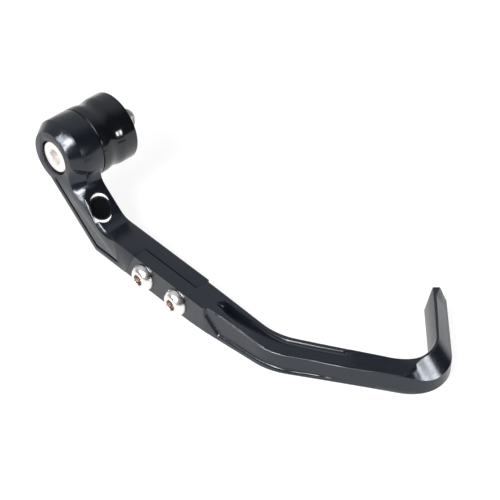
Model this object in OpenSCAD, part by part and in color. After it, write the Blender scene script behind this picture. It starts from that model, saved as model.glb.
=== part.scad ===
// Brake lever guard for a motorbike handlebar end, in millimetres.
// Origin: on the bolt axis, at the rear face of the spacer, where it meets the bar end.
// +X runs along the bar towards the rider's hand, -Y is forward along the blade, +Z is up.
// Outlines are drawn in "forward" and "up", or in "forward" and "inboard" for the blade's plan.

/* [Head and spacer] */
// Diameter of the bracket's round head
head_d = 28; // [24:0.5:32]
// Length of the head along the bar axis
head_len = 14; // [13:0.5:18]
// Axial length of the cone on the head's free edge
head_cone_len = 4.3; // [2:0.1:5]
// Radial size of the cone on the head's free edge
head_cone_in = 3.1; // [1:0.1:3.5]
// Length of the turned spacer behind the head
spacer_len = 16.5; // [12:0.5:22]
// Length of the spacer's front land, up to its waist
spacer_land = 2.6; // [1.5:0.1:4]
// Depth of the spacer's waist
waist_depth = 0.6; // [0.3:0.1:2]
// Length of the spacer's waist
waist_len = 8.6; // [5:0.1:9]
// Edge break on turned edges
edge_break = 0.4; // [0.2:0.1:0.8]

/* [Bar end bolt] */
// Thread diameter of the bolt
bolt_d = 8; // [6:1:8]
// Diameter of the bolt's head
bolt_head_d = 13; // [12:0.5:14]
// Height of the bolt's head
bolt_head_h = 8; // [6:0.5:8]
// Length of the bolt under its head
bolt_len = 30; // [28:1:34]
// Depth of the bolt's head below the bracket's face
bolt_recess = 0.7; // [0.2:0.1:1]
// Radial room round the bolt's head in its counterbore
head_room = 0.7; // [0.3:0.1:0.9]
// Height from a thread's crests down to its mean line
thread_half = 0.4; // [0.3:0.05:0.5]
// Length of the taper on a fastener's tip
tip_len = 1; // [0.5:0.1:1.5]
// Radial size of that taper
tip_in = 0.7; // [0.4:0.1:1]
// Size of the edge break on the bolt's head
bolt_break = 0.6; // [0.3:0.1:0.8]
// Hexagon across flats in the bolt's head
bolt_hex = 6; // [5:0.5:6]
// Depth of that hexagon
bolt_hex_depth = 4; // [3:0.5:4.5]

/* [Arm] */
// Thickness of the arm along the bar axis
arm_t = 12; // [10:0.5:13]
// Angle at which the arm drops below the forward direction
arm_drop = 38.5; // [30:0.5:45]
// Width of the sloping arm, across its drop
arm_w = 11.8; // [10:0.2:14]
// Offset of the sloping arm's lower edge below the bolt axis
arm_low = 9.8; // [9:0.1:11]
// Height of the top of the blade below the bolt axis
top_drop = 19.2; // [18:0.1:21]
// Height of the straight arm and of the blade
blade_h = 12; // [11:0.5:14]
// Radius of the hollow corner above the bend
bend_r = 9; // [4:0.5:12]
// Radius of the hollow between the head and the arm
neck_r = 7; // [3:0.5:9]
// Size of the bevel on the arm's upper front edge, below the head
bevel_arm = 1.2; // [0.8:0.1:1.8]
// Radius of the scoop that widens the bevel beside the head
neck_scoop_r = 7.6; // [7.2:0.1:8.4]
// How far that scoop cuts into the head's cone
neck_scoop_over = 0.15; // [0.1:0.05:0.3]

/* [Arm trim] */
// Width of the groove that follows the arm's lower edge
groove_w = 1.2; // [0.8:0.1:1.6]
// Depth of that groove
groove_depth = 0.6; // [0.3:0.1:1]
// Distance of that groove above the lower edge
groove_up = 2.6; // [2:0.1:3.5]
// Radius of the round recess in the arm's upper face
recess_r = 4.1; // [3:0.1:4.5]
// Distance of the recess from the bolt axis, down the arm
recess_at = 25.6; // [24:0.1:27]
// Place of the recess, measured from the front face
recess_x = 5.3; // [5:0.1:6]
// Depth of the recess
recess_depth = 1.4; // [0.8:0.1:3]
// Shift of the two crescent cuts beside the recess
crescent_shift = 1.9; // [1:0.1:2.2]
// Turn of the crescents away from the arm's direction
crescent_turn = 24; // [0:2:40]
// Depth of the crescent cuts
crescent_depth = 0.5; // [0.3:0.1:0.7]

/* [Lap joint and screws] */
// Forward place of the seam at the top edge
seam_top = 46.7; // [46:0.1:47.5]
// Lean of the seam from upright
seam_lean = 26; // [15:1:27]
// Length of the bracket's tail forward of the seam
tail_len = 28.7; // [28:0.1:31]
// Thickness of the blade's tongue in front of the tail
tongue_t = 6; // [5:0.2:7]
// Free play between the ends of the lap
seam_gap = 0.15; // [0.1:0.05:0.3]
// Distance of the first screw forward of the seam
screw_from_seam = 5.5; // [5.4:0.1:6]
// Distance between the two screws
screw_pitch = 18.6; // [17:0.1:18.8]
// Height of the screws above the blade's lower edge
screw_up = 5.4; // [5.3:0.1:6.5]
// Thread diameter of the screws
screw_d = 6; // [5:0.5:6]
// Diameter of the screws' button heads
screw_head_d = 10.5; // [9:0.1:10.6]
// Height of the button heads
screw_head_h = 3.3; // [2.5:0.1:3.6]
// Radius of the flat on top of the button heads
screw_flat_r = 2.7; // [2.5:0.1:3.2]
// Height of the button heads' straight rim
screw_rim = 0.4; // [0.2:0.1:0.6]
// Hexagon across flats in the screws
screw_hex = 4; // [3:0.5:4]
// Depth of that hexagon
screw_hex_depth = 2.2; // [1.5:0.1:2.4]
// Radial clearance between a fastener and its hole
bolt_clear = 0.2; // [0.1:0.05:0.4]
// Radial clearance between a screw and its tapped hole
thread_clear = 0.05; // [0.03:0.01:0.1]

/* [Blade] */
// Forward place where the blade's front face starts to turn
first_bend = 86; // [84:1:88]
// Forward place of the blade's second bend
second_bend = 117; // [113:1:121]
// How far the front face has moved inboard at the second bend
second_in = 3.4; // [2:0.1:5]
// Angle of the long slanting run from the forward direction
slant = 34.6; // [31:0.2:38]
// Forward place of the corner, where the two outer faces would meet
corner_at = 173.3; // [168:0.1:180]
// Angle of the hook from the forward direction
hook_turn = 137.5; // [130:0.5:145]
// Length of the hook's outer face from that meeting point
hook_len = 48.4; // [40:0.2:56]
// Width of the hook at its foot
hook_w = 8; // [6.5:0.1:9.5]
// Outer radius of the corner
corner_r = 15.5; // [12:0.5:18]
// Inner radius of the corner
corner_inner_r = 13; // [9:0.5:14]
// Width of the blade at the first bend
width_first = 11.5; // [11:0.1:12]
// Width of the blade at the second bend, across the forward direction
width_second = 8.2; // [7:0.1:9.5]
// Width of the slanting run where it reaches the corner
width_corner = 5.6; // [5:0.1:7]
// Radius that softens the first and second bends
bend_soft = 26; // [10:1:40]

/* [Blade edges] */
// Edge break along the blade's top front edge
top_break = 0.5; // [0.3:0.1:0.8]
// Bevel along the blade's lower front edge beyond the screws
foot_bevel = 0.8; // [0.5:0.1:2]
// Depth in plan of the wide bevel round the corner and hook
hook_bevel = 4.6; // [3:0.1:5]
// Height of that wide bevel
hook_bevel_h = 5.9; // [4:0.1:7]
// Share of the slanting run that stays plain before the wide bevel starts
run_plain = 0.78; // [0.6:0.02:0.9]
// Share of the wide bevel that is reached where the corner starts
bevel_lead = 0.45; // [0.2:0.05:0.7]
// Share of the corner after which the wide bevel is full
bevel_full = 0.4; // [0.3:0.05:0.8]
// Lean of the hook's inner face, in plan
hook_inner = 1.2; // [0.4:0.1:1.6]
// Edge break along the blade's rear edge
rear_break = 0.3; // [0.2:0.1:0.5]
// Depth of the rebate in the top of the blade, at its start
rebate_depth = 3; // [1:0.1:4]
// Depth of the rebate at its end
rebate_end_depth = 0.8; // [0.4:0.1:1.5]
// Width of the strip left behind the rebate
rebate_strip = 2.7; // [2:0.1:3.4]
// Forward place of the rebate's start
rebate_from = 89.5; // [88:0.5:91]
// Forward place where the rebate starts to run out
rebate_to = 140; // [134:0.5:144]
// Length over which the rebate runs out
rebate_out = 7; // [4:0.5:10]
// Depth of the flute in the blade's front face
flute_depth = 1; // [0.4:0.1:1.4]
// Height of the land below the flute
flute_land = 3.6; // [3:0.1:5]
// Forward place of the flute's start
flute_from = 85.8; // [84.5:0.1:88]
// Distance over which the flute's start slants down
flute_lead = 7; // [5:0.5:9]
// Forward place where the flute runs out
flute_to = 138; // [128:1:142]

/* [Hidden] */
$fn = 96;
cut = 0.02;
span = 400;
arc_steps = 8;
corner_steps = 16;
x_front = -(head_len + spacer_len);
z_top = -top_drop;
z_low = -top_drop - blade_h;
screw_z = z_low + screw_up;
screw_at = seam_top + screw_from_seam;
tail_end = seam_top + tail_len;
bolt_tail = bolt_len - head_len - spacer_len + bolt_recess + bolt_head_h;
bore_d = bolt_d + 2 * bolt_clear;
counterbore_d = bolt_head_d + 2 * head_room;
counterbore_depth = bolt_recess + bolt_head_h;
arm_high = arm_w - arm_low;
tail_x = x_front + tongue_t;
black = [0.17, 0.175, 0.19];
satin_black = [0.21, 0.205, 0.2];
steel = [0.78, 0.78, 0.77];

// Points on the sloping arm, from its place down the arm and above the bolt axis
function on_arm(along, above) =
    [along * cos(arm_drop) + above * sin(arm_drop), -along * sin(arm_drop) + above * cos(arm_drop)];
// Forward place at which a line of the sloping arm reaches a height
function reach(above, z) = (above / cos(arm_drop) - z) / tan(arm_drop);
// Forward place of the seam at a height
function seam_at(z) = seam_top - (z_top - z) * tan(seam_lean);

upper_bend = reach(arm_high, z_top);
lower_bend = reach(-arm_low, z_low);

// A side outline drawn in forward and up, made solid along the bar axis
module across(x_from, thick) {
    translate([x_from + thick, 0, 0]) rotate([90, 0, -90]) linear_extrude(thick) children();
}

// A plan outline drawn in forward and inboard, made solid upwards
module upward(z_from, high) {
    translate([x_front, 0, z_from]) rotate([0, 0, -90]) linear_extrude(high) children();
}

// A solid of revolution on the bolt axis, drawn in radius and distance inboard
module turned(x_from) {
    translate([x_from, 0, 0]) rotate([0, 90, 0]) rotate_extrude() children();
}

module along_x(x_from, d, length) {
    translate([x_from, 0, 0]) rotate([0, 90, 0]) cylinder(d = d, h = length);
}

module at_screws(zs = screw_z) {
    for (i = [0, 1]) translate([0, -(screw_at + i * screw_pitch), zs]) children();
}

module hexagon(flats, deep) {
    rotate([0, 90, 0]) cylinder(d = flats / cos(30), h = deep, $fn = 6);
}

// The hollow that fills an inner corner between two straight edges
module hollow_corner(corner, from_angle, to_angle, r) {
    half = (to_angle - from_angle) / 2;
    mid = (from_angle + to_angle) / 2;
    centre = corner + r / sin(half) * [cos(mid), sin(mid)];
    run = r / tan(half);
    difference() {
        polygon([corner - 0.2 * [cos(mid), sin(mid)], corner + run * [cos(from_angle), sin(from_angle)],
            centre, corner + run * [cos(to_angle), sin(to_angle)]]);
        translate(centre) circle(r);
    }
}

module arm_outline() {
    polygon([on_arm(0, -arm_low), [lower_bend, z_low], [seam_at(z_low), z_low], [seam_at(z_top), z_top],
        [upper_bend, z_top], on_arm(0, arm_high)]);
    hollow_corner([upper_bend, z_top], 0, 180 - arm_drop, bend_r);
}

// The hollow between the head and the arm: its centre, where it touches both, and its middle
neck_along = sqrt(pow(head_d / 2 + neck_r, 2) - pow(arm_high + neck_r, 2));
neck_centre = on_arm(neck_along, arm_high + neck_r);
neck_head = neck_centre * head_d / (head_d + 2 * neck_r);
neck_arm = on_arm(neck_along, arm_high);
neck_mid = neck_centre + neck_r * unit(neck_head + neck_arm - 2 * neck_centre);

module neck_outline() {
    difference() {
        polygon([[0, 0], on_arm(neck_along, 0), neck_arm, neck_centre]);
        translate(neck_centre) circle(neck_r);
    }
}

module tail_outline() {
    polygon([[seam_at(z_low) - tongue_t, z_low], [tail_end, z_low], [tail_end, z_top],
        [seam_at(z_top) - tongue_t, z_top]]);
}

// The bevel on the upper front edge: scooped beside the head, straight down the arm, round at the bend
module arm_bevel() {
    slope = head_cone_in / head_cone_len;
    toward_head = neck_centre - (neck_scoop_r + head_cone_in - neck_r) * unit(neck_centre);
    bend_centre = [upper_bend + bend_r * tan(arm_drop / 2), z_top + bend_r];
    bend_along = upper_bend * cos(arm_drop) - z_top * sin(arm_drop) - bend_r * tan(arm_drop / 2);
    first = on_arm(neck_along - neck_r / 2, arm_high);
    scoop(toward_head, neck_scoop_r + neck_scoop_over, slope, head_cone_len);
    translate([x_front, -first[0], first[1]]) rotate([arm_drop, 0, 0]) rotate([0, 45, 0])
        translate([0, (first_to(bend_along)) / -2, 0])
            cube([bevel_arm * sqrt(2), first_to(bend_along), bevel_arm * sqrt(2)], center = true);
    scoop(bend_centre, bend_r + bevel_arm, 1, bevel_arm);
}

// Length of the straight bevel down to a place along the arm
function first_to(along) = along - neck_along + neck_r / 2;

// A cone about a line along the bar axis: its radius at the front face, its slope and its depth
module scoop(centre, r, slope, deep) {
    translate([x_front - 1, -centre[0], centre[1]]) rotate([0, 90, 0])
        cylinder(r1 = r + slope, r2 = r - slope * (deep + 1), h = deep + 2);
}

module groove_outline() {
    low = groove_up - groove_w / 2;
    high = groove_up + groove_w / 2;
    polygon([on_arm(6, high - arm_low), on_arm(7, low - arm_low), [reach(low - arm_low, z_low + low), z_low + low],
        [seam_at(z_low) - 4, z_low + low], [seam_at(z_low) - 4.5, z_low + high],
        [reach(high - arm_low, z_low + high), z_low + high]]);
}

// The round recess and its two crescent cuts, drilled square to the arm's upper face
module arm_recess() {
    place = on_arm(recess_at, arm_high);
    translate([x_front + recess_x, -place[0], place[1]]) rotate([arm_drop, 0, 0]) {
        translate([0, 0, -recess_depth]) cylinder(r = recess_r, h = recess_depth + 1);
        rotate([0, 0, -crescent_turn]) for (side = [-1, 1])
            translate([0, side * crescent_shift, -crescent_depth]) cylinder(r = recess_r, h = crescent_depth + 1);
    }
}

module bracket() {
    head_r = head_d / 2;
    color(black) difference() {
        union() {
            turned(x_front) polygon([[0, 0], [head_r - head_cone_in, 0], [head_r, head_cone_len],
                [head_r, head_len - edge_break], [head_r - edge_break, head_len], [0, head_len]]);
            across(x_front, arm_t) arm_outline();
            across(x_front, arm_t) neck_outline();
            across(tail_x, arm_t - tongue_t) tail_outline();
        }
        along_x(x_front - 1, counterbore_d, counterbore_depth + 1);
        along_x(x_front - 1, bore_d, head_len + 2);
        at_screws() along_x(tail_x - 1, screw_d + 2 * thread_clear, arm_t);
        across(x_front - 1, groove_depth + 1) groove_outline();
        arm_bevel();
        arm_recess();
    }
}

function waist(s) = head_d / 2 - waist_depth * pow(sin(180 * s), 2);

module bar_end_spacer() {
    r = head_d / 2;
    color(satin_black) difference() {
        turned(x_front + head_len) polygon(concat(
            [[0, 0], [r - edge_break, 0], [r, edge_break], [r, spacer_land]],
            [for (i = [1:12]) [waist(i / 13), spacer_land + waist_len * i / 13]],
            [[r, spacer_land + waist_len], [r, spacer_len - edge_break], [r - edge_break, spacer_len],
                [0, spacer_len]]));
        along_x(x_front + head_len - 1, bore_d, spacer_len + 2);
    }
}

module bar_bolt() {
    head_x = x_front + bolt_recess;
    seat_x = head_x + bolt_head_h;
    thread_r = bolt_d / 2 - thread_half;
    color(steel) difference() {
        union() {
            turned(head_x) polygon([[0, 0], [bolt_head_d / 2 - bolt_break, 0], [bolt_head_d / 2, bolt_break],
                [bolt_head_d / 2, bolt_head_h], [0, bolt_head_h]]);
            turned(0) polygon([[0, seat_x - cut], [bolt_d / 2, seat_x - cut], [bolt_d / 2, 0], [thread_r, 0],
                [thread_r, bolt_tail - tip_len], [thread_r - tip_in, bolt_tail], [0, bolt_tail]]);
        }
        translate([head_x - cut, 0, 0]) hexagon(bolt_hex, bolt_hex_depth + cut);
    }
}

module button_screw() {
    r = screw_head_d / 2;
    color(steel) difference() {
        union() {
            turned(-screw_head_h) polygon(concat([[0, 0]],
                [for (i = [0:arc_steps]) [screw_flat_r + (r - screw_flat_r) * sin(i * 90 / arc_steps),
                    (screw_head_h - screw_rim) * (1 - cos(i * 90 / arc_steps))]],
                [[r, screw_head_h], [0, screw_head_h]]));
            turned(-cut) polygon([[0, 0], [screw_d / 2, 0], [screw_d / 2, arm_t - tip_len],
                [screw_d / 2 - tip_in, arm_t + cut], [0, arm_t + cut]]);
        }
        translate([-screw_head_h - cut, 0, 0]) hexagon(screw_hex, screw_hex_depth + cut);
    }
}

module blade_screws() {
    at_screws() translate([x_front, 0, 0]) button_screw();
}

// The blade in plan: an outer and an inner line with the same number of points, joined by sections
function unit(v) = v / norm(v);
function heading(a) = [cos(a), sin(a)];
// A line through the given corners with each inner one rounded
function rounded(pts, radii, steps) = concat([pts[0]],
    [for (i = [1:len(pts) - 2])
        let (u = unit(pts[i - 1] - pts[i]), v = unit(pts[i + 1] - pts[i]),
            half = acos(u * v) / 2, run = radii[i - 1] / tan(half),
            centre = pts[i] + unit(u + v) * radii[i - 1] / sin(half),
            a = pts[i] + u * run - centre, b = pts[i] + v * run - centre, sweep = 180 - 2 * half)
        for (k = [0:steps[i - 1]]) let (f = k / steps[i - 1])
            centre + (a * sin((1 - f) * sweep) + b * sin(f * sweep)) / sin(sweep)],
    [pts[len(pts) - 1]]);

blade_back = seam_at(z_low) - 4;
station = 1 + 2 * (arc_steps + 1);
corner_pt = [corner_at, second_in + (corner_at - second_bend) * tan(slant)];
outer_pts = [[blade_back, 0], [first_bend, 0], [second_bend, second_in], corner_pt,
    corner_pt + hook_len * heading(hook_turn)];
outer = with_station(rounded(outer_pts, [bend_soft, bend_soft, corner_r], [arc_steps, arc_steps, corner_steps]));

// The inner line: parallel to the hook, and leaning in along the slanting run
inner_hook = outer_pts[4] - hook_w * heading(hook_turn - 90);
inner_second = [second_bend - 3.5, second_in + width_second - 0.6];
inner_run = corner_pt - (corner_r * tan((hook_turn - slant) / 2)) * heading(slant)
    + width_corner * heading(slant + 90);
lean = unit(inner_run - inner_second);
across_hook = heading(hook_turn - 90);
inner_corner = inner_second + lean * ((inner_hook - inner_second) * across_hook) / (lean * across_hook);
inner_pts = [[blade_back, arm_t], [first_bend, width_first], inner_second, inner_corner, inner_hook];
inner = with_station(rounded(inner_pts, [bend_soft, bend_soft, corner_inner_r],
    [arc_steps, arc_steps, corner_steps]));

// A line with one more point, at which the wide bevel starts, on the slanting run
function with_station(line) = concat([for (i = [0:station - 1]) line[i]],
    [line[station - 1] + (line[station] - line[station - 1]) * run_plain],
    [for (i = [station:len(line) - 1]) line[i]]);
// How much of the wide bevel a section has: 0 up to that point, 1 on the hook
function into_corner(i) = i <= station ? 0
    : min(1, bevel_lead + (1 - bevel_lead) * (i - station - 1) / (corner_steps * bevel_full));
// How much of the lower bevel a section has: 0 at the lap, 1 from the first bend
function past_lap(i) = i < 1 ? 0 : min(1, (i - 1) / arc_steps);

// One section: its points lie between the inner line (0) and the outer line (1), with a height
function section(i) =
    let (c = into_corner(i), p = inner[i], wide = norm(outer[i] - inner[i]), d = unit(outer[i] - inner[i]),
        bevel = top_break + (hook_bevel - top_break) * c, drop = top_break + (hook_bevel_h - top_break) * c,
        foot = rear_break + (foot_bevel - rear_break) * past_lap(i) * (1 - c),
        lean_in = rear_break + (hook_inner - rear_break) * c)
    [for (q = [[0, 0], [wide - foot, 0], [wide, foot], [wide, blade_h - drop], [wide - bevel, blade_h],
            [lean_in, blade_h]])
        [x_front + p[1] + d[1] * q[0], -(p[0] + d[0] * q[0]), z_low + q[1]]];

// The blade's body as one skin through all its sections
module blade_body() {
    n = len(outer);
    m = 6;
    points = [for (i = [0:n - 1]) each section(i)];
    polyhedron(points, concat(
        [[for (k = [m - 1:-1:0]) k]],
        [for (i = [0:n - 2], k = [0:m - 1]) let (k2 = (k + 1) % m)
            each [[(i + 1) * m + k2, (i + 1) * m + k, i * m + k], [i * m + k2, (i + 1) * m + k2, i * m + k]]],
        [[for (k = [0:m - 1]) (n - 1) * m + k]]));
}

// A point on the inner line's long runs, moved outwards
function inside(t, off) = t < inner_second[0]
    ? [t, inner_pts[1][1] + (t - first_bend) * (inner_second[1] - width_first) / (inner_second[0] - first_bend) - off]
    : inner_second + lean * (t - inner_second[0]) / lean[0] + off * [lean[1], -lean[0]];

// The rebate in plan: behind it a strip is left, in front of it it is open
module rebate_outline() {
    polygon([inside(rebate_from, rebate_strip), inside(inner_second[0] - 2, rebate_strip),
        inside(inner_second[0] + 4, rebate_strip), inside(rebate_to, rebate_strip),
        inside(rebate_to + rebate_out / 2, rebate_strip + 0.8), inside(rebate_to + rebate_out, rebate_strip + 4),
        [rebate_to, -9], [rebate_from - 6, -9], [rebate_from - 6, 0], [rebate_from - 3.3, rebate_strip * 2]]);
}

// The rebate from the side: its floor rises towards the end
module rebate_side() {
    polygon([[rebate_from - 8, z_top - rebate_depth], [rebate_to, z_top - rebate_end_depth],
        [rebate_to + rebate_out + 1, z_top - rebate_end_depth / 2], [rebate_to + rebate_out + 1, z_top + 1],
        [rebate_from - 8, z_top + 1]]);
}

// What lies inside both a plan outline and a side outline
module plan_and_side() {
    intersection() {
        upward(z_low - 1, blade_h + 2) children(0);
        across(x_front - 20, span) children(1);
    }
}

// The flute in plan: a thin skin of the front face, deepest in the middle
module flute_outline() {
    run = tan(slant);
    polygon([[flute_from, flute_depth], [first_bend, flute_depth], [second_bend, second_in + flute_depth],
        [flute_to - 8, second_in + (flute_to - 8 - second_bend) * run + flute_depth],
        [flute_to, second_in + (flute_to - second_bend) * run - 0.2],
        [flute_to, -9], [flute_from, -9]]);
}

module flute_side() {
    land = z_low + flute_land;
    polygon([[flute_from, z_top + 1], [flute_from, z_top - rebate_depth], [flute_from + flute_lead, land],
        [flute_to + 2, land], [flute_to + 2, z_top + 1]]);
}

// What is cut from the blade's back end so that it laps over the bracket's tail
module lap_cut() {
    far = blade_back - 10;
    across(x_front + tongue_t, span)
        polygon([[far, z_low - 1], [tail_end + seam_gap, z_low - 1], [tail_end + seam_gap, z_top + 1],
            [far, z_top + 1]]);
    across(x_front - 1, span)
        polygon([[far, z_low - 1], [seam_at(z_low - 1) + seam_gap, z_low - 1],
            [seam_at(z_top + 1) + seam_gap, z_top + 1], [far, z_top + 1]]);
}

module guard_blade() {
    color(black) difference() {
        blade_body();
        lap_cut();
        plan_and_side() {
            rebate_outline();
            rebate_side();
        }
        plan_and_side() {
            flute_outline();
            flute_side();
        }
        at_screws() along_x(x_front - 1, screw_d + 2 * bolt_clear, tongue_t + 2);
    }
}

bracket();
bar_end_spacer();
bar_bolt();
guard_blade();
blade_screws();
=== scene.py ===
"""A brake lever guard: black anodised bracket, spacer and blade, with a stainless bolt and screws."""
import math

import bmesh
import bpy
from mathutils import Matrix, Vector


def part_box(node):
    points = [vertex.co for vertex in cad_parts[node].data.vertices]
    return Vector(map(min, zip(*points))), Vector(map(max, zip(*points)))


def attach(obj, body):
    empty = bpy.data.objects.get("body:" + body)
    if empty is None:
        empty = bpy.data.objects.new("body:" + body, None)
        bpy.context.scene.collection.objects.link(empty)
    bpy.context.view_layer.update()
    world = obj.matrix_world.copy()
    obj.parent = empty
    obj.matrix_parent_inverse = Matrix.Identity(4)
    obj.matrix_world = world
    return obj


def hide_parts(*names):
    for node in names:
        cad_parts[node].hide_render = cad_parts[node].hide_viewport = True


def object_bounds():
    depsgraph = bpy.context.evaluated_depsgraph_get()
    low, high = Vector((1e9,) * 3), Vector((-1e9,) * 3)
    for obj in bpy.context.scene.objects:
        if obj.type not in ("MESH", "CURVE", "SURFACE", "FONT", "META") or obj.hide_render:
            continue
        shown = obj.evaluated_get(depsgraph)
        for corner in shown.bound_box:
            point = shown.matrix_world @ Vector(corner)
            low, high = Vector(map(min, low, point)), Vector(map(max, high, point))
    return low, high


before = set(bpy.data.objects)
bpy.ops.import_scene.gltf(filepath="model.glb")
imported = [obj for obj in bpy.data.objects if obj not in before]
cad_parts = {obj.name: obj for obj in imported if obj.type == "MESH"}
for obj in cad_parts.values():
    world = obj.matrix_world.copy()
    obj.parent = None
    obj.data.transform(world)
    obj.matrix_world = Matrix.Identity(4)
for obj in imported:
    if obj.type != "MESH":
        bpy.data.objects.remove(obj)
cad_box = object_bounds()
MM = 0.001


# Spacer. A collar turned from aluminium bar and anodised black, smoother than the milled pieces.
# The bolt passes through it and clamps it between the bracket's head and the end of the handlebar.
SPACER_COLOUR = (0.0035, 0.004, 0.005, 1)
SPACER_SHEEN = (0.94, 0.97, 1, 1)
SPACER_ROUGHNESS = 0.13
SPACER_LINES = (6, 0.3, 0.3)
SPACER_BORE = 4.2 * MM
SPACER_RADIUS = 14 * MM
SPACER_EDGE = 0.4 * MM
WAIST_DEPTH = 0.6 * MM
WAIST_START = 2.6 * MM
WAIST_LENGTH = 8.6 * MM
WAIST_STEPS = 32
TURNED_SIDES = 160
CORNER_STEPS = 4
MERGE_WITHIN = 0.001 * MM
SHARP_ABOVE = math.radians(38)
NOISE_LOW = 0.3
NOISE_HIGH = 0.7
NOISE_DETAIL = 2
DYE_CELLS = 110
DYE_DETAIL = 3
DYE_VARIES = 0.25
TOOL_LINE_CELLS = 1400
TOOL_LINE_DEEP = 0.012 * MM
ETCH_CELLS = 5200
ETCH_DEEP = 0.02 * MM
ANODISED_BUMP = 0.06
ANODISED_SPECULAR = 0.58
ANODISED_SMOOTHER = 0.04
ANODISED_ROUGHER = 0.05


def feed(tree, node, inputs):
    """Give a node's inputs plain values, or link them to the outputs of other nodes."""
    for place, value in inputs.items():
        if isinstance(value, bpy.types.NodeSocket):
            tree.links.new(value, node.inputs[place])
        else:
            node.inputs[place].default_value = value


def add_node(tree, kind, inputs):
    """Add a node to a tree and feed its inputs."""
    node = tree.nodes.new(kind)
    feed(tree, node, inputs)
    return node


def shader(name):
    """Start a material and give back its node tree and main shader."""
    material = bpy.data.materials.new(name)
    material.use_nodes = True
    return material, material.node_tree, material.node_tree.nodes["Principled BSDF"]


def place_pattern(tree, scale=(1, 1, 1)):
    """Object coordinates in metres, stretched by scale."""
    where = add_node(tree, "ShaderNodeTexCoord", {})
    stretch = add_node(tree, "ShaderNodeMapping", {"Vector": where.outputs["Object"], "Scale": scale})
    return stretch.outputs["Vector"]


def noise(tree, vector, cells, detail=NOISE_DETAIL):
    """A noise field of so many cells to the metre."""
    field = add_node(tree, "ShaderNodeTexNoise", {"Vector": vector, "Scale": cells, "Detail": detail})
    return field.outputs["Fac"]


def remap(tree, value, low, high):
    """Spread a noise value between low and high."""
    spread = add_node(tree, "ShaderNodeMapRange", {
        "Value": value, "From Min": NOISE_LOW, "From Max": NOISE_HIGH, "To Min": low, "To Max": high})
    return spread.outputs["Result"]


def mix_colours(tree, share, first, second):
    """A share of the way from the first colour to the second."""
    mixed = tree.nodes.new("ShaderNodeMix")
    mixed.data_type = "RGBA"
    feed(tree, mixed, {"Factor": share, "A": first, "B": second})
    return mixed.outputs["Result"]


def bump(tree, height, strength, deep, under=None):
    """A bump of so many metres, laid over another one if that is given."""
    raised = add_node(tree, "ShaderNodeBump", {"Height": height, "Strength": strength, "Distance": deep})
    if under is not None:
        tree.links.new(under, raised.inputs["Normal"])
    return raised.outputs["Normal"]


def anodised(name, colour, sheen, roughness, strength, lines):
    """Anodised aluminium: a dark dyed oxide skin with tool lines and a fine etched grain."""
    material, tree, skin = shader(name)
    plain = place_pattern(tree)
    tool_lines = noise(tree, place_pattern(tree, lines), TOOL_LINE_CELLS)
    deep_dye = [(1 - DYE_VARIES) * c for c in colour[:3]] + [1]
    pale_dye = [(1 + DYE_VARIES) * c for c in colour[:3]] + [1]
    etched = bump(tree, noise(tree, plain, ETCH_CELLS), strength, ETCH_DEEP)
    feed(tree, skin, {
        "Base Color": mix_colours(tree, noise(tree, plain, DYE_CELLS, DYE_DETAIL), deep_dye, pale_dye),
        "Specular Tint": sheen,
        "Specular IOR Level": ANODISED_SPECULAR,
        "Roughness": remap(tree, tool_lines, roughness - ANODISED_SMOOTHER, roughness + ANODISED_ROUGHER),
        "Normal": bump(tree, tool_lines, strength, TOOL_LINE_DEEP, etched)})
    return material


def add_piece(name, mesh, material, node):
    """Put a finished mesh in the scene, on the one body, for the CAD node it stands for."""
    piece = bpy.data.objects.new(name, mesh)
    bpy.context.scene.collection.objects.link(piece)
    if not mesh.materials:
        mesh.materials.append(material)
    mesh.shade_smooth()
    mesh.set_sharp_from_angle(angle=SHARP_ABOVE)
    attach(piece, "root")
    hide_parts(node)


def closed_loft(bm, rings, wrap):
    """Join rings of points, each given as a closed outline; wrap joins the last ring to the first."""
    made = [[bm.verts.new(point) for point in ring] for ring in rings]
    count = len(made[0])
    for k in range(len(made) if wrap else len(made) - 1):
        here, after = made[k], made[(k + 1) % len(made)]
        for i in range(count):
            j = (i + 1) % count
            bm.faces.new((here[i], here[j], after[j], after[i]))
    if not wrap:
        bm.faces.new(made[0])
        bm.faces.new(made[-1])


def tidy_mesh(bm, name):
    """Merge doubles, drop slivers, turn the faces outwards and make the mesh."""
    bmesh.ops.remove_doubles(bm, verts=bm.verts, dist=MERGE_WITHIN)
    bmesh.ops.dissolve_degenerate(bm, edges=bm.edges, dist=MERGE_WITHIN)
    bmesh.ops.recalc_face_normals(bm, faces=bm.faces)
    mesh = bpy.data.meshes.new(name)
    bm.to_mesh(mesh)
    bm.free()
    return mesh


def round_the_axis(profile, turn):
    """Points of (place along X, radius), turned about the bolt axis by an angle."""
    return [(x, r * math.cos(turn), r * math.sin(turn)) for x, r in profile]


def curve(start, pull, finish, steps):
    """Points of a curve from start to finish that is drawn towards pull."""
    start, pull, finish = Vector(start), Vector(pull), Vector(finish)
    return [tuple((1 - f) ** 2 * start + 2 * f * (1 - f) * pull + f * f * finish)
            for f in (k / steps for k in range(steps + 1))]


def soft_corner(corner, before, after, size):
    """Points of a small curve in place of a profile's corner."""
    corner, before, after = Vector(corner), Vector(before), Vector(after)
    start = corner + (before - corner).normalized() * size
    finish = corner + (after - corner).normalized() * size
    return curve(start, corner, finish, CORNER_STEPS)


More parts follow.
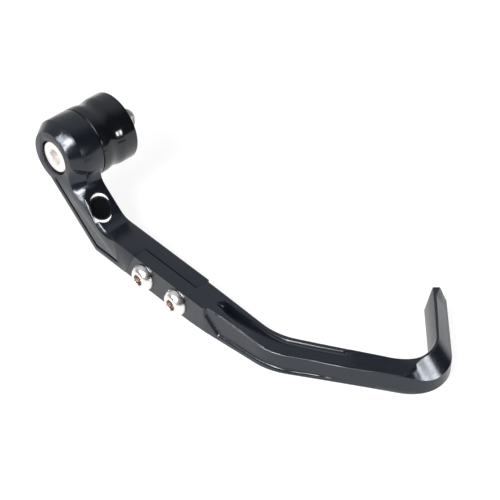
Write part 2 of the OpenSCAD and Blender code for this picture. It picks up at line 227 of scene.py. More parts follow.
spacer_low, spacer_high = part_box("bar_end_spacer")
front, rear = spacer_low[0], spacer_high[0]
corners = [(front, SPACER_BORE), (front, SPACER_RADIUS), (rear, SPACER_RADIUS), (rear, SPACER_BORE)]
broken = [soft_corner(corners[k], corners[k - 1], corners[(k + 1) % 4], SPACER_EDGE) for k in range(4)]
waist = [(front + WAIST_START + WAIST_LENGTH * k / WAIST_STEPS,
          SPACER_RADIUS - WAIST_DEPTH * math.sin(math.pi * k / WAIST_STEPS) ** 2)
         for k in range(WAIST_STEPS + 1)]
spacer_profile = broken[0] + broken[1] + waist + broken[2] + broken[3]
spacer_bm = bmesh.new()
closed_loft(spacer_bm, [round_the_axis(spacer_profile, 2 * math.pi * k / TURNED_SIDES)
                        for k in range(TURNED_SIDES)], True)
turned_black = anodised("turned_black", SPACER_COLOUR, SPACER_SHEEN, SPACER_ROUGHNESS, ANODISED_BUMP,
                        SPACER_LINES)
add_piece("spacer", tidy_mesh(spacer_bm, "spacer"), turned_black, "bar_end_spacer")


# Bracket. The round head, the arm and its thin tail, milled from one block and anodised black.
# Two crescents beside the round recess are stepped down and coloured near white; close to the recess's
# middle the step and the recess's floor are near black, and the floor reflects less.
MILLED_COLOUR = (0.0055, 0.007, 0.0105, 1)
MILLED_SHEEN = (0.86, 0.91, 1, 1)
MILLED_ROUGHNESS = 0.2
MILLED_LINES = (0.4, 0.12, 3)
RECESS_COLOUR = (0.0015, 0.0015, 0.0015, 1)
RECESS_ROUGHNESS = 0.6
RECESS_BUMP = 0.2
RECESS_SPECULAR = 0.12
BRIGHT_COLOUR = (0.98, 0.98, 0.98, 1)
BRIGHT_ROUGHNESS = 0.6
BRIGHT_METALLIC = 0.15
BRIGHT_LINES = (1, 0.1, 1)
BRIGHT_CELLS = 3000
BARE_SMOOTHER = 0.03
BARE_ROUGHER = 0.04
BARE_BUMP = 0.02
SCRATCH_DEEP = 0.01 * MM
CAD_MERGE_WITHIN = 0.002 * MM
FLAT_WITHIN = math.radians(0.5)
EDGE_WIDTH = 0.14 * MM
EDGE_SEGMENTS = 2
EDGE_ABOVE = math.radians(28)
ARM_DROP = math.radians(38.5)
ARM_TOP = 2.0 * MM
CRESCENT_DEPTH = 0.5 * MM
RECESS_DEPTH = 1.4 * MM
DEPTH_ROOM = 0.1 * MM
FACING_UP = 0.99
RECESS_DOWN_ARM = 25.6 * MM
RECESS_IN = 5.3 * MM
BRIGHT_FROM = 4.9 * MM


def plain_result(holder, name):
    """What a holder's modifiers make, as a plain mesh; the holder is taken away."""
    bpy.context.view_layer.update()
    finished = bpy.data.meshes.new_from_object(holder.evaluated_get(bpy.context.evaluated_depsgraph_get()))
    bpy.data.objects.remove(holder)
    finished.name = name
    return finished


def edged_copy(node, name):
    """A copy of a CAD node's mesh with its points merged and its edges slightly broken."""
    bm = bmesh.new()
    bm.from_mesh(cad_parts[node].data)
    bmesh.ops.remove_doubles(bm, verts=bm.verts, dist=CAD_MERGE_WITHIN)
    bmesh.ops.dissolve_limit(bm, angle_limit=FLAT_WITHIN, verts=bm.verts, edges=bm.edges)
    mesh = bpy.data.meshes.new(name)
    bm.to_mesh(mesh)
    bm.free()
    holder = bpy.data.objects.new(name + "_plain", mesh)
    bpy.context.scene.collection.objects.link(holder)
    bevel = holder.modifiers.new("edges", "BEVEL")
    bevel.width = EDGE_WIDTH
    bevel.segments = EDGE_SEGMENTS
    bevel.limit_method = "ANGLE"
    bevel.angle_limit = EDGE_ABOVE
    finished = plain_result(holder, name)
    finished.materials.clear()
    return finished


def bare_metal(name, colour, roughness, lines, cells, metallic=1.0):
    """Uncoated metal with fine tool lines; a rough cut is less metallic."""
    material, tree, skin = shader(name)
    marks = noise(tree, place_pattern(tree, lines), cells)
    feed(tree, skin, {
        "Base Color": colour,
        "Metallic": metallic,
        "Roughness": remap(tree, marks, roughness - BARE_SMOOTHER, roughness + BARE_ROUGHER),
        "Normal": bump(tree, marks, BARE_BUMP, SCRATCH_DEEP)})
    return material


def calculate(tree, operation, *values):
    """The result of a Math node for plain numbers or the outputs of other nodes."""
    maths = tree.nodes.new("ShaderNodeMath")
    maths.operation = operation
    feed(tree, maths, dict(enumerate(values)))
    return maths.outputs[0]


def distance_from(tree, point):
    """Distance of each spot from a point, in metres."""
    apart = tree.nodes.new("ShaderNodeVectorMath")
    apart.operation = "DISTANCE"
    feed(tree, apart, {0: place_pattern(tree), 1: point})
    return apart.outputs["Value"]


def shade_beyond(tree, distance, limit, near, far):
    """Colour a material one way near a point, and another way beyond a limit."""
    outside = calculate(tree, "GREATER_THAN", distance, limit)
    feed(tree, tree.nodes["Principled BSDF"], {"Base Color": mix_colours(tree, outside, near, far)})


milled_black = anodised("milled_black", MILLED_COLOUR, MILLED_SHEEN, MILLED_ROUGHNESS, ANODISED_BUMP,
                        MILLED_LINES)
recess_black = anodised("recess_black", RECESS_COLOUR, MILLED_SHEEN, RECESS_ROUGHNESS, RECESS_BUMP,
                        (1, 1, 1))
feed(recess_black.node_tree, recess_black.node_tree.nodes["Principled BSDF"],
     {"Specular IOR Level": RECESS_SPECULAR})
crescent_step = bare_metal("crescent_step", BRIGHT_COLOUR, BRIGHT_ROUGHNESS, BRIGHT_LINES, BRIGHT_CELLS,
                        BRIGHT_METALLIC)
arm_along = Vector((0, -math.cos(ARM_DROP), -math.sin(ARM_DROP)))
arm_up = Vector((0, -math.sin(ARM_DROP), math.cos(ARM_DROP)))
recess_middle = arm_along * RECESS_DOWN_ARM + arm_up * ARM_TOP
recess_middle.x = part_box("bracket")[0][0] + RECESS_IN
from_recess = distance_from(crescent_step.node_tree, recess_middle)
shade_beyond(crescent_step.node_tree, from_recess, BRIGHT_FROM, RECESS_COLOUR, BRIGHT_COLOUR)

bracket_mesh = edged_copy("bracket", "bracket")
for finish in (milled_black, crescent_step, recess_black):
    bracket_mesh.materials.append(finish)
for face in bracket_mesh.polygons:
    below = ARM_TOP - face.center.dot(arm_up)
    for number, depth in ((1, CRESCENT_DEPTH), (2, RECESS_DEPTH)):
        if face.normal.dot(arm_up) > FACING_UP and abs(below - depth) < DEPTH_ROOM:
            face.material_index = number
add_piece("milled_bracket", bracket_mesh, milled_black, "bracket")


# Blade. Milled from plate and anodised with the bracket: a tongue in front of the bracket's tail, a
# slanting run with a channel on top and a flute in front, and a bevelled corner that ends in a hook.
# Its sizes are in millimetres, forward from the bolt axis, in from the outer face and up.
SEAM_TOP = 46.85
SEAM_LEAN = math.tan(math.radians(26))
SEAM_LEAN_END = 60.0
LAP_END = 75.55
TONGUE = 6.0
FIRST_BEND = 86.0
SECOND_BEND = 117.0
SECOND_IN = 3.4
INNER_SECOND_BACK = 3.5
SLANT = math.radians(34.6)
CORNER_AT = 173.3
CORNER_RADIUS = 15.5
CORNER_INNER = 13.0
HOOK_TURN = math.radians(137.5)
HOOK_LENGTH = 48.4
HOOK_WIDTH = 8.0
BEND_SOFT = 26.0
BEND_STEPS = (10, 10, 36)
WIDTH_LAP = 12.0
WIDTH_FIRST = 11.5
WIDTH_SECOND = 7.6
WIDTH_CORNER = 5.6
BLADE_HIGH = 12.0
RUN_END = 152.0
PLAIN_STEP = 1.2
FINE_STEP = 0.25
FINE_FROM = 76.0
FINE_TO = 97.0
SAME_PLACE = 0.01

# Broken edges: the rear ones, the foot past the tongue, and the short ramp at which a cut begins
REAR_BREAK = 0.25
FOOT = 0.8
FOOT_FROM = 78.0
FOOT_OVER = 8.0
CUT_OVER = 0.8

# Front: the drop of its upper edge below the top, the break of that edge, and the flute over its land
FRONT_DROP = ((92, 0), (99, 0.6), (107, 1.7), (115, 2.7), (122, 3.05), (146, 3.05), (RUN_END, 2.9))
FRONT_BREAK = ((84, 0.2), (90, 0.5), (112, 0.5), (122, 0.15))
FLUTE_LAND = ((92, 2.4), (115, 2.3), (124, 1.6), (138, 2.4))
FLUTE_SHARE = ((SECOND_BEND, 1), (130, 0.8), (139, 0))
FLUTE_DEPTH = 1.0
FLUTE_ROUND = 1.0
FLUTE_ROUND_STEPS = 3
FLUTE_STEPS = 14
FLUTE_FROM = 85.8
FLUTE_LEAD = 6.9
FLUTE_LEAD_TOP = 3.0
LAND_EDGE = 0.02

# Top: the strip behind the channel, the channel's wall and its broken lip, and the fold in its floor
STRIP_WIDTH = 2.7
STRIP = ((141, STRIP_WIDTH), (144.5, 0.4))
WALL_LINE = ((76, TONGUE), (84, WIDTH_FIRST - STRIP_WIDTH))
WALL_LINE_END = 90.0
WALL_DEPTH = ((88, 2.9), (105, 2.3), (117, 1.9), (139, 1.6), (142, 1.3), (143.5, 0))
WALL_SLOPE = 0.6
WALL_ROOM = 0.15
LIP_AT = 0.4
LIP_DROP = 0.34
LIP_SHARE = 0.2
FOLD = ((86.2, 5.4), (104, 0.5))
FLOOR_ROOM = 0.4
FLOOR_STEPS = 14
CHANNEL_FROM = 89.5
CHANNEL_SLANT = 0.92

# Hook: the bevel up to its crease, the flat strip behind that, wider at the tip, and the leaning rear
BEVEL_FROM = 150.0
BEVEL_DEEP = 6.3
BEVEL_TURN = 0.5
CREASE_STEPS = 3
HOOK_LEAN = 2.4
HOOK_STRIP = 1.2
HOOK_FLOOR = 0.3
HOOK_WALL = 0.6
TIP_STRIP = 1.6
TIP_LONG = 5.0


def heading(angle):
    """A step in plan: forward and inboard."""
    return Vector((math.cos(angle), math.sin(angle)))


def rounded_line(corners, radii):
    """A line through corners with each inner one rounded."""
    line = [corners[0]]
    for k, radius in enumerate(radii):
        before = (corners[k] - corners[k + 1]).normalized()
        after = (corners[k + 2] - corners[k + 1]).normalized()
        half = math.acos(before.dot(after)) / 2
        centre = corners[k + 1] + (before + after).normalized() * (radius / math.sin(half))
        run = radius / math.tan(half)
        first = corners[k + 1] + before * run - centre
        last = corners[k + 1] + after * run - centre
        sweep = math.pi - 2 * half
        for step in range(BEND_STEPS[k] + 1):
            f = step / BEND_STEPS[k]
            arm = first * math.sin((1 - f) * sweep) + last * math.sin(f * sweep)
            line.append(centre + arm / math.sin(sweep))
    return line + [corners[-1]]


def clamp(share):
    """Keep a share between 0 and 1."""
    return min(1.0, max(0.0, share))


def between(low, high, share):
    """The amount at a share of the way from low to high."""
    return low + (high - low) * share


def ramp(table, value):
    """Read a table of (place, amount) pairs with straight lines between them."""
    if value <= table[0][0]:
        return table[0][1]
    for (a, low), (b, high) in zip(table, table[1:]):
        if value <= b:
            return between(low, high, (value - a) / (b - a))
    return table[-1][1]


def ease(share):
    """A soft step from 0 to 1."""
    share = clamp(share)
    return share * share * (3 - 2 * share)


def cut_in(reach, start, over=CUT_OVER):
    """0 before a cut's start, 1 past its short ramp."""
    return clamp((reach - start) / over)


corner_point = Vector((CORNER_AT, SECOND_IN + (CORNER_AT - SECOND_BEND) * math.tan(SLANT)))
hook_tip = corner_point + heading(HOOK_TURN) * HOOK_LENGTH
outer_corners = [Vector((SEAM_TOP, 0)), Vector((FIRST_BEND, 0)), Vector((SECOND_BEND, SECOND_IN)),
                 corner_point, hook_tip]
inner_second = Vector((SECOND_BEND - INNER_SECOND_BACK, SECOND_IN + WIDTH_SECOND))
run_back = CORNER_RADIUS * math.tan((HOOK_TURN - SLANT) / 2)
inner_run = (corner_point - heading(SLANT) * run_back
             + heading(SLANT + math.pi / 2) * WIDTH_CORNER - inner_second).normalized()
over_hook = heading(HOOK_TURN - math.pi / 2)
inner_hook = hook_tip - over_hook * HOOK_WIDTH
inner_corner = inner_second + inner_run * ((inner_hook - inner_second).dot(over_hook)
                                           / inner_run.dot(over_hook))
inner_corners = [Vector((SEAM_TOP, WIDTH_LAP)), Vector((FIRST_BEND, WIDTH_FIRST)), inner_second,
                 inner_corner, inner_hook]
outer_line = rounded_line(outer_corners, (BEND_SOFT, BEND_SOFT, CORNER_RADIUS))
inner_line = rounded_line(inner_corners, (BEND_SOFT, BEND_SOFT, CORNER_INNER))

# Places along the lines are counted in their points: the corner's first, and where the bevel begins
# and is full
corner_first = BEND_STEPS[0] + BEND_STEPS[1] + 3
run_last, corner_start = outer_line[corner_first - 1].x, outer_line[corner_first].x
bevel_begins = corner_first - 1 + (BEVEL_FROM - run_last) / (corner_start - run_last)
bevel_full = corner_first + BEVEL_TURN * BEND_STEPS[2]


def stations():
    """Pairs of outer and inner points, close together where the channel and the flute start."""
    pairs = []
    for k in range(len(outer_line) - 1):
        a, b = outer_line[k], outer_line[k + 1]
        c, d = inner_line[k], inner_line[k + 1]
        step = FINE_STEP if a.x < FINE_TO and b.x > FINE_FROM else PLAIN_STEP
        count = max(1, math.ceil((b - a).length / step))
        shares = [n / count for n in range(count)]
        if a.x < LAP_END < b.x:
            shares = sorted(shares + [(LAP_END - a.x) / (b.x - a.x)])
        square = (b.x - a.x) / (d.x - c.x) if k == 0 else 1.0
        pairs += [(a.lerp(b, f), c.lerp(d, f * square), k + f) for f in shares]
    pairs.append((outer_line[-1], inner_line[-1], len(outer_line) - 1))
    return pairs


def front_side(reach, foot, edge):
    """The front from its foot over the land and the flute to its broken upper edge."""
    land = ramp(FLUTE_LAND, reach)
    edge_break = ramp(FRONT_BREAK, reach)
    levels = [(FLUTE_DEPTH - FLUTE_ROUND, land + LAND_EDGE)]
    for k in range(1, FLUTE_ROUND_STEPS + 1):
        turn = math.pi / 2 * k / FLUTE_ROUND_STEPS
        levels.append((FLUTE_DEPTH - FLUTE_ROUND + FLUTE_ROUND * math.sin(turn),
                       land + FLUTE_ROUND * (1 - math.cos(turn))))
    levels += [(FLUTE_DEPTH, between(land + FLUTE_ROUND, edge - edge_break, k / FLUTE_STEPS))
               for k in range(1, FLUTE_STEPS + 1)]
    side = [(foot, 0), (0, foot), (0, land)]
    for depth, height in levels:
        lead = clamp((BLADE_HIGH - height - FLUTE_LEAD_TOP) / (BLADE_HIGH - land - FLUTE_LEAD_TOP))
        cut = ramp(FLUTE_SHARE, reach) * cut_in(reach, FLUTE_FROM + FLUTE_LEAD * lead)
        side.append((depth * cut, height))
    return side + [(side[-1][0] + edge_break, edge)]


def channel_depth(reach, from_wall):
    """Depth of the channel's floor below the top; it starts sooner away from its wall."""
    return ramp(WALL_DEPTH, reach) * cut_in(reach, CHANNEL_FROM - CHANNEL_SLANT * from_wall)


def blade_section(outer, inner, place, lap):
    """One outline: distance in from the outer face, and height, from the foot round to the rear."""
    reach = outer.x if place < corner_first else RUN_END
    turned_in = ease((place - bevel_begins) / (bevel_full - bevel_begins))
    front_drop = ramp(FRONT_DROP, reach)
    edge = BLADE_HIGH - between(front_drop, BEVEL_DEEP, turned_in)
    foot = between(REAR_BREAK, FOOT, cut_in(reach, FOOT_FROM, FOOT_OVER) * (1 - turned_in))
    outline = front_side(reach, foot, edge)
    front = outline[-1][0]
    wide = TONGUE if lap else (inner - outer).length
    rear = wide - between(REAR_BREAK, HOOK_LEAN, turned_in)
    to_tip = (outer_line[-1] - outer).length
    hook_strip = HOOK_STRIP + TIP_STRIP * clamp(1 - to_tip / TIP_LONG)
    crease = between(front, rear - hook_strip, turned_in)
    wall = TONGUE / 2 if lap else wide - ramp(STRIP, reach)
    if reach < WALL_LINE_END:
        wall = min(wall, ramp(WALL_LINE, reach))
    base = min(wall, rear - FLOOR_ROOM)
    base = between(base, between(crease, rear, HOOK_FLOOR), turned_in)
    wall_top = min(wall + WALL_SLOPE, rear - WALL_ROOM)
    wall_top = between(wall_top, between(crease, rear, HOOK_WALL), turned_in)
    fold = max(front, ramp(FOLD, reach))

    def slope_at(v):
        """Height of the plain slope from the front edge up to the strip."""
        return BLADE_HIGH - front_drop * (1 - turned_in) * clamp((wall_top - v) / (wall_top - front))

    def floor_at(v):
        """Height of the channel's floor, which leaves the slope at the fold."""
        if v <= fold:
            return slope_at(v)
        fold_drop = BLADE_HIGH - slope_at(fold)
        drop = between(fold_drop, channel_depth(reach, base - v), (v - fold) / (base - fold))
        return min(slope_at(v), BLADE_HIGH - drop)

    for k in range(1, CREASE_STEPS + 1):
        share = k / CREASE_STEPS
        outline.append((between(front, crease, share), between(edge, slope_at(crease), share)))
    for k in range(1, FLOOR_STEPS + 1):
        v = between(crease, base, k / FLOOR_STEPS)
        outline.append((v, floor_at(v)))
    lip = between(base, wall_top, LIP_AT)
    wall_depth = channel_depth(reach, 0)
    lip_top = BLADE_HIGH - min(LIP_DROP, LIP_SHARE * wall_depth) if wall_depth else slope_at(lip)
    outline += [(lip, lip_top), (wall_top, BLADE_HIGH), (rear - REAR_BREAK, BLADE_HIGH),
                (rear, BLADE_HIGH - REAR_BREAK), (wide, REAR_BREAK), (wide - REAR_BREAK, 0)]
    return outline


# At the lap's end the tongue steps out to the full width, so two outlines stand in one place there
blade_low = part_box("guard_blade")[0]
blade_rings = []
for outer, inner, place in stations():
    inward = (inner - outer).normalized()
    lean = SEAM_LEAN * clamp((SEAM_LEAN_END - outer.x) / (SEAM_LEAN_END - SEAM_TOP))
    at_lap_end = abs(outer.x - LAP_END) < SAME_PLACE
    for lap in ((True, False) if at_lap_end else (outer.x < LAP_END,)):
        ring = []
        for v, z in blade_section(outer, inner, place, lap):
            spot = outer + inward * v
            forward = spot.x - lean * (BLADE_HIGH - z)
            ring.append((blade_low[0] + spot.y * MM, -forward * MM, blade_low[2] + z * MM))
        blade_rings.append(ring)
blade_bm = bmesh.new()
closed_loft(blade_bm, blade_rings, False)
add_piece("blade", tidy_mesh(blade_bm, "blade"), milled_black, "guard_blade")


# Bolt. An M8 cap bolt of stainless steel, forged and turned, with a rolled thread of 1.25 mm pitch.
# It clamps the bracket and the spacer; the thread stands out behind the spacer for the handlebar.
STEEL_COLOUR = (0.82, 0.78, 0.75, 1)
STEEL_ROUGHNESS = 0.38
STEEL_METALLIC = 0.6
STEEL_LINES = (0.3, 1, 1)
STEEL_CELLS = 2600
BOLT_RADIUS = 4.0 * MM
BOLT_HEAD = 6.5 * MM
BOLT_HEAD_LONG = 8.0 * MM
BOLT_HEAD_BREAK = 0.6 * MM
BOLT_SEAT_BREAK = 0.15 * MM
BOLT_HEX = 3.0 * MM
BOLT_HEX_DEEP = 4.0 * MM
BOLT_PITCH = 1.25 * MM
BOLT_ROOT = 3.25 * MM
BOLT_CREST = 3.97 * MM
BOLT_TIP_LONG = 0.5 * MM
BOLT_TIP_DEEP = 0.4 * MM
THREAD_FROM = 0.4 * MM
THREAD_RUN_OUT = 0.5 * MM
THREAD_TURNS = 5.2
THREAD_CLEAR = 0.55
THREAD_SUNK = 0.05 * MM
THREAD_FOOT = 0.94
THREAD_LAND = 0.14
THREAD_STEPS = 48
SOCKET_SIDES = 96
SOCKET_BREAK = 0.12 * MM
SOCKET_CONE = 0.25


def hexagon(turn, flat):
    """Distance from the middle of a hexagon to its side at an angle."""
    return flat / math.cos(turn % (math.pi / 3) - math.pi / 6)


def turned_with_socket(bm, outline_at):
    """Turn an open outline that starts and ends on the X axis; it may change with the angle."""
    turns = [2 * math.pi * k / SOCKET_SIDES for k in range(SOCKET_SIDES)]
    columns = [[bm.verts.new(point) for point in round_the_axis(outline_at(turn), turn)] for turn in turns]
    for k in range(SOCKET_SIDES):
        here, after = columns[k], columns[(k + 1) % SOCKET_SIDES]
        for i in range(len(here) - 1):
            bm.faces.new((here[i], here[i + 1], after[i + 1], after[i]))


def socket(front, turn, flat, deep):
    """The start of an outline: the socket's bottom, its six walls and its broken mouth."""
    wall = hexagon(turn, flat)
    mouth = flat / math.cos(math.pi / 6) + SOCKET_BREAK
    return [(front + deep + SOCKET_CONE * flat, 0), (front + deep, wall), (front + mouth - wall, wall),
            (front, mouth)]


def bolt_outline(turn):
    """The bolt from its socket's bottom round the head and along the shank to its tip."""
    return (socket(bolt_front, turn, BOLT_HEX, BOLT_HEX_DEEP)
            + soft_corner((bolt_front, BOLT_HEAD), (bolt_front, 0), (bolt_rear, BOLT_HEAD), BOLT_HEAD_BREAK)
            + [(bolt_seat - BOLT_SEAT_BREAK, BOLT_HEAD), (bolt_seat, BOLT_HEAD - BOLT_SEAT_BREAK),
               (bolt_seat, BOLT_RADIUS), (THREAD_FROM, BOLT_RADIUS),
               (THREAD_FROM + THREAD_RUN_OUT, BOLT_ROOT), (bolt_rear - BOLT_TIP_LONG, BOLT_ROOT),
               (bolt_rear, BOLT_ROOT - BOLT_TIP_DEEP), (bolt_rear, 0)])


def node_tree(name, inputs):
    """A Geometry Nodes tree with a geometry in and out, and the outputs that give its named inputs."""
    tree = bpy.data.node_groups.new(name, "GeometryNodeTree")
    tree.interface.new_socket("Geometry", in_out="INPUT", socket_type="NodeSocketGeometry")
    for label, kind in inputs.items():
        tree.interface.new_socket(label, in_out="INPUT", socket_type=kind)
    tree.interface.new_socket("Geometry", in_out="OUTPUT", socket_type="NodeSocketGeometry")
    return tree, tree.nodes.new("NodeGroupInput").outputs


def finish_tree(tree, geometry, material):
    """End a tree with real geometry in one material."""
    real = add_node(tree, "GeometryNodeRealizeInstances", {"Geometry": geometry})
    painted = add_node(tree, "GeometryNodeSetMaterial", {
        "Geometry": real.outputs["Geometry"], "Material": material})
    add_node(tree, "NodeGroupOutput", {"Geometry": painted.outputs["Geometry"]})


def grown_mesh(name, mesh, tree, values):
    """Run a tree on a mesh with its named inputs set, and keep the result as a plain mesh."""
    holder = bpy.data.objects.new(name + "_plain", mesh)
    bpy.context.scene.collection.objects.link(holder)
    modifier = holder.modifiers.new("grow", "NODES")
    modifier.node_group = tree
    for item in tree.interface.items_tree:
        if item.in_out == "INPUT" and item.name in values:
            modifier[item.identifier] = values[item.name]
    grown = plain_result(holder, name)
    bm = bmesh.new()
    bm.from_mesh(grown)
    bmesh.ops.recalc_face_normals(bm, faces=bm.faces)
    bm.to_mesh(grown)
    bm.free()
    return grown


steel = bare_metal("stainless", STEEL_COLOUR, STEEL_ROUGHNESS, STEEL_LINES, STEEL_CELLS, STEEL_METALLIC)
bolt_low, bolt_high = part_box("bar_bolt")
bolt_front, bolt_rear = bolt_low[0], bolt_high[0]
bolt_seat = bolt_front + BOLT_HEAD_LONG
bolt_bm = bmesh.new()
turned_with_socket(bolt_bm, bolt_outline)

# The thread is a tooth swept along a helix; both are made about Z and then laid along the bolt
thread_tree, given = node_tree("thread", {
    "Pitch": "NodeSocketFloat", "Turns": "NodeSocketFloat", "Root": "NodeSocketFloat",
    "Crest": "NodeSocketFloat", "Start": "NodeSocketVector"})
both_radii = calculate(thread_tree, "ADD", given["Root"], given["Crest"])
mean_radius = calculate(thread_tree, "MULTIPLY", both_radii, 0.5)
helix = add_node(thread_tree, "GeometryNodeCurveSpiral", {
    "Resolution": THREAD_STEPS, "Rotations": given["Turns"], "Start Radius": mean_radius,
    "End Radius": mean_radius, "Height": calculate(thread_tree, "MULTIPLY", given["Pitch"], given["Turns"]),
    "Reverse": True})
steady = add_node(thread_tree, "GeometryNodeSetCurveNormal", {"Curve": helix.outputs["Curve"]})
steady.mode = "Z_UP"
tooth = thread_tree.nodes.new("GeometryNodeCurvePrimitiveQuadrilateral")
tooth.mode = "TRAPEZOID"
feed(thread_tree, tooth, {
    "Bottom Width": calculate(thread_tree, "MULTIPLY", given["Pitch"], THREAD_FOOT),
    "Top Width": calculate(thread_tree, "MULTIPLY", given["Pitch"], THREAD_LAND),
    "Height": calculate(thread_tree, "SUBTRACT", given["Crest"], given["Root"]),
    "Offset": 0})
outward = add_node(thread_tree, "GeometryNodeTransform", {
    "Geometry": tooth.outputs["Curve"], "Rotation": (0, 0, -math.pi / 2)})
swept = add_node(thread_tree, "GeometryNodeCurveToMesh", {
    "Curve": steady.outputs["Curve"], "Profile Curve": outward.outputs["Geometry"], "Fill Caps": True})
laid = add_node(thread_tree, "GeometryNodeTransform", {
    "Geometry": swept.outputs["Mesh"], "Translation": given["Start"], "Rotation": (0, math.pi / 2, 0)})
with_body = add_node(thread_tree, "GeometryNodeJoinGeometry", {"Geometry": laid.outputs["Geometry"]})
feed(thread_tree, with_body, {"Geometry": given["Geometry"]})
finish_tree(thread_tree, with_body.outputs["Geometry"], steel)
bolt_mesh = grown_mesh("bolt", tidy_mesh(bolt_bm, "bolt_body"), thread_tree, {
    "Pitch": BOLT_PITCH, "Turns": THREAD_TURNS, "Root": BOLT_ROOT - THREAD_SUNK, "Crest": BOLT_CREST,
    "Start": (bolt_rear - BOLT_PITCH * (THREAD_TURNS + THREAD_CLEAR), 0, 0)})
add_piece("bolt", bolt_mesh, steel, "bar_bolt")


# Screws. Two M6 button-head screws of stainless steel, alike, with a 4 mm socket each.
# They pass through the blade's tongue and hold it to the bracket's tail.
POLISHED_COLOUR = (0.9, 0.87, 0.85, 1)
POLISHED_ROUGHNESS = 0.27
POLISHED_CELLS = 700
# Painted shade in the sockets: a darker, browner colour near a point inside each
SOCKET_PAINTED_SHADE_COLOUR = (0.55, 0.47, 0.42, 1)
PAINTED_SHADE_REACH = 2.65 * MM
PAINTED_SHADE_DEEP = 1.6 * MM
SCREW_RADIUS = 3.0 * MM
SCREW_HEAD = 5.25 * MM
SCREW_HEAD_HIGH = 3.3 * MM
SCREW_RIM = 0.4 * MM
SCREW_FLAT = 2.7 * MM
SCREW_HEX = 2.0 * MM
SCREW_HEX_DEEP = 2.2 * MM
SCREW_LONG = 12.0 * MM
SCREW_SEAT_BREAK = 0.1 * MM
SCREW_TIP = 0.5 * MM
SCREW_FIRST = 52.2 * MM
SCREW_PITCH = 18.6 * MM
SCREW_HIGH = -25.8 * MM
SCREW_COUNT = 2
DOME_PULL_BACK = 0.25 * MM
DOME_PULL_IN = 0.75 * MM
DOME_STEPS = 16


def screw_outline(turn):
    """A button-head screw from its socket round the dome to the tip, seated at the origin."""
    dome = curve((-SCREW_HEAD_HIGH, SCREW_FLAT),
                 (-SCREW_HEAD_HIGH + DOME_PULL_BACK, SCREW_HEAD - DOME_PULL_IN),
                 (-SCREW_RIM, SCREW_HEAD), DOME_STEPS)
    return (socket(-SCREW_HEAD_HIGH, turn, SCREW_HEX, SCREW_HEX_DEEP) + dome
            + [(-SCREW_SEAT_BREAK, SCREW_HEAD), (0, SCREW_HEAD - SCREW_SEAT_BREAK), (0, SCREW_RADIUS),
               (SCREW_LONG - SCREW_TIP, SCREW_RADIUS), (SCREW_LONG, SCREW_RADIUS - SCREW_TIP),
               (SCREW_LONG, 0)])


seat = blade_low[0]
polished = bare_metal("polished_stainless", POLISHED_COLOUR, POLISHED_ROUGHNESS, (1, 1, 1), POLISHED_CELLS)
# Painted shade: each socket is coloured darker and browner within a small reach of a point inside it
from_sockets = [distance_from(polished.node_tree, (seat - SCREW_HEAD_HIGH + PAINTED_SHADE_DEEP,
                                                   -SCREW_FIRST - SCREW_PITCH * k, SCREW_HIGH))
                for k in range(SCREW_COUNT)]
nearest = calculate(polished.node_tree, "MINIMUM", *from_sockets)
shade_beyond(polished.node_tree, nearest, PAINTED_SHADE_REACH, SOCKET_PAINTED_SHADE_COLOUR, POLISHED_COLOUR)

screw_bm = bmesh.new()
turned_with_socket(screw_bm, screw_outline)
row_tree, given = node_tree("screw_row", {
    "Count": "NodeSocketInt", "First": "NodeSocketVector", "Step": "NodeSocketVector"})
row = add_node(row_tree, "GeometryNodeMeshLine", {
    "Count": given["Count"], "Start Location": given["First"], "Offset": given["Step"]})
set_out = add_node(row_tree, "GeometryNodeInstanceOnPoints", {
    "Points": row.outputs["Mesh"], "Instance": given["Geometry"]})
finish_tree(row_tree, set_out.outputs["Instances"], polished)
screws_mesh = grown_mesh("screws", tidy_mesh(screw_bm, "screw"), row_tree, {
    "Count": SCREW_COUNT, "First": (seat, -SCREW_FIRST, SCREW_HIGH), "Step": (0, -SCREW_PITCH, 0)})
add_piece("screws", screws_mesh, polished, "blade_screws")


# Stage. A matt pale table just under the guard, which the camera and the gloss see as white, with
# soft lamps, a dim room that is lighter on one side, and the camera of the photograph.
TABLE_HALF = 6
TABLE_BELOW = 0.05 * MM
TABLE_COLOUR = (0.8, 0.8, 0.8, 1)
TABLE_ROUGHNESS = 0.9
WHITE_STRENGTH = 1.2
WHITE_SHARE = 0.72
ROOM_COLOUR = (0.92, 0.94, 1, 1)
ROOM_LIGHTER_TOWARDS = (0.35, 0.75, 0.56)
ROOM_FADE = (0.25, 0.85)
ROOM_STRENGTH = (0.05, 0.6)

table_top = cad_box[0][2] - TABLE_BELOW
table_mesh = bpy.data.meshes.new("table")
table_mesh.from_pydata([(x * TABLE_HALF, y * TABLE_HALF, table_top)
                        for x, y in ((-1, -1), (1, -1), (1, 1), (-1, 1))], [], [(0, 1, 2, 3)])
table = bpy.data.objects.new("table", table_mesh)
bpy.context.scene.collection.objects.link(table)
pale, tree, cover = shader("pale_table")
feed(tree, cover, {"Base Color": TABLE_COLOUR, "Roughness": TABLE_ROUGHNESS})
white = add_node(tree, "ShaderNodeEmission", {"Strength": WHITE_STRENGTH})
ray = add_node(tree, "ShaderNodeLightPath", {})
seen = calculate(tree, "MAXIMUM", ray.outputs["Is Camera Ray"], ray.outputs["Is Glossy Ray"])
surface = add_node(tree, "ShaderNodeMixShader", {
    "Fac": calculate(tree, "MULTIPLY", seen, WHITE_SHARE),
    1: cover.outputs["BSDF"],
    2: white.outputs["Emission"]})
feed(tree, tree.nodes["Material Output"], {"Surface": surface.outputs["Shader"]})
table_mesh.materials.append(pale)

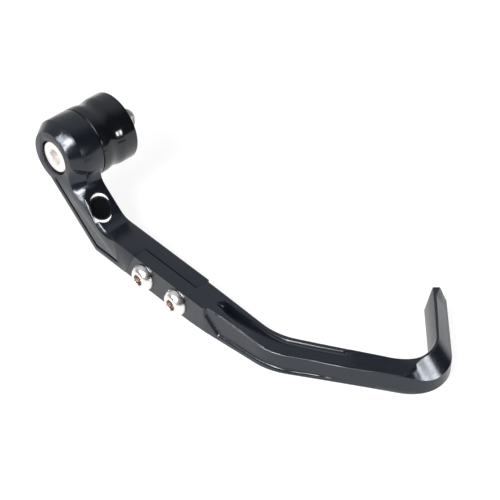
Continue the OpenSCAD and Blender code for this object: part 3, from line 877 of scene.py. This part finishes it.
room = bpy.data.worlds.new("studio")
bpy.context.scene.world = room
room.use_nodes = True
tree = room.node_tree
around = add_node(tree, "ShaderNodeTexCoord", {})
towards_wall = tree.nodes.new("ShaderNodeVectorMath")
towards_wall.operation = "DOT_PRODUCT"
feed(tree, towards_wall, {0: around.outputs["Generated"], 1: ROOM_LIGHTER_TOWARDS})
fade = tree.nodes.new("ShaderNodeMapRange")
fade.interpolation_type = "SMOOTHSTEP"
feed(tree, fade, {
    "Value": towards_wall.outputs["Value"], "From Min": ROOM_FADE[0], "From Max": ROOM_FADE[1],
    "To Min": ROOM_STRENGTH[0], "To Max": ROOM_STRENGTH[1]})
feed(tree, tree.nodes["Background"], {"Color": ROOM_COLOUR, "Strength": fade.outputs["Result"]})


def softbox(name, towards, distance, size, power, middle, spread=180):
    """A soft lamp that shines on a point of the object from a direction."""
    lamp = bpy.data.lights.new(name, "AREA")
    lamp.shape = "RECTANGLE"
    lamp.size, lamp.size_y = size
    lamp.energy = power
    lamp.spread = math.radians(spread)
    holder = bpy.data.objects.new(name, lamp)
    bpy.context.scene.collection.objects.link(holder)
    holder.location = Vector(middle) + Vector(towards).normalized() * distance
    holder.rotation_euler = (-Vector(towards)).to_track_quat("-Z", "Y").to_euler()


softbox("long_box", towards=(-0.70, -0.01, 0.70), distance=1.0, size=(0.78, 0.2), power=8.5,
        middle=(-0.02, -0.03, 0))
softbox("arm_box", towards=(-0.82, -0.29, 0.49), distance=0.9, size=(0.14, 0.28), power=3.2,
        middle=(-0.02, -0.02, 0))
softbox("cone_box", towards=(-0.67, -0.22, 0.71), distance=0.9, size=(0.2, 0.16), power=2.6,
        middle=(-0.028, -0.01, 0.01))
softbox("front_box", towards=(0.17, -0.95, 0.28), distance=1.1, size=(0.13, 0.24), power=3,
        middle=(-0.008, -0.01, 0.008))
softbox("corner_box", towards=(0.45, -0.74, 0.50), distance=0.25, size=(0.14, 0.1), power=0.013,
        middle=(0.01, -0.17, -0.025), spread=17)

CAMERA_PLACE = (-0.4199, -0.5265, 0.5305)
CAMERA_NEAREST = 0.01
AZIMUTH = math.radians(-43.1)
ELEVATION = math.radians(41.53)
ROLL = math.radians(0.69)
FOCAL_PIXELS = 2200
FRAME_PIXELS = 500
SENSOR = 36
back = Vector((math.sin(AZIMUTH) * math.cos(ELEVATION), -math.cos(AZIMUTH) * math.cos(ELEVATION),
               math.sin(ELEVATION)))
level = Vector((math.cos(AZIMUTH), math.sin(AZIMUTH), 0))
right = math.cos(ROLL) * level + math.sin(ROLL) * back.cross(level)
camera_data = bpy.data.cameras.new("photo_camera")
camera_data.sensor_width = SENSOR
camera_data.lens = SENSOR * FOCAL_PIXELS / FRAME_PIXELS
camera_data.clip_start = CAMERA_NEAREST
camera = bpy.data.objects.new("photo_camera", camera_data)
bpy.context.scene.collection.objects.link(camera)
camera.matrix_world = (Matrix.Translation(CAMERA_PLACE)
                       @ Matrix((right, back.cross(right), back)).transposed().to_4x4())
bpy.context.scene.camera = camera
bpy.context.scene.view_settings.view_transform = "Standard"
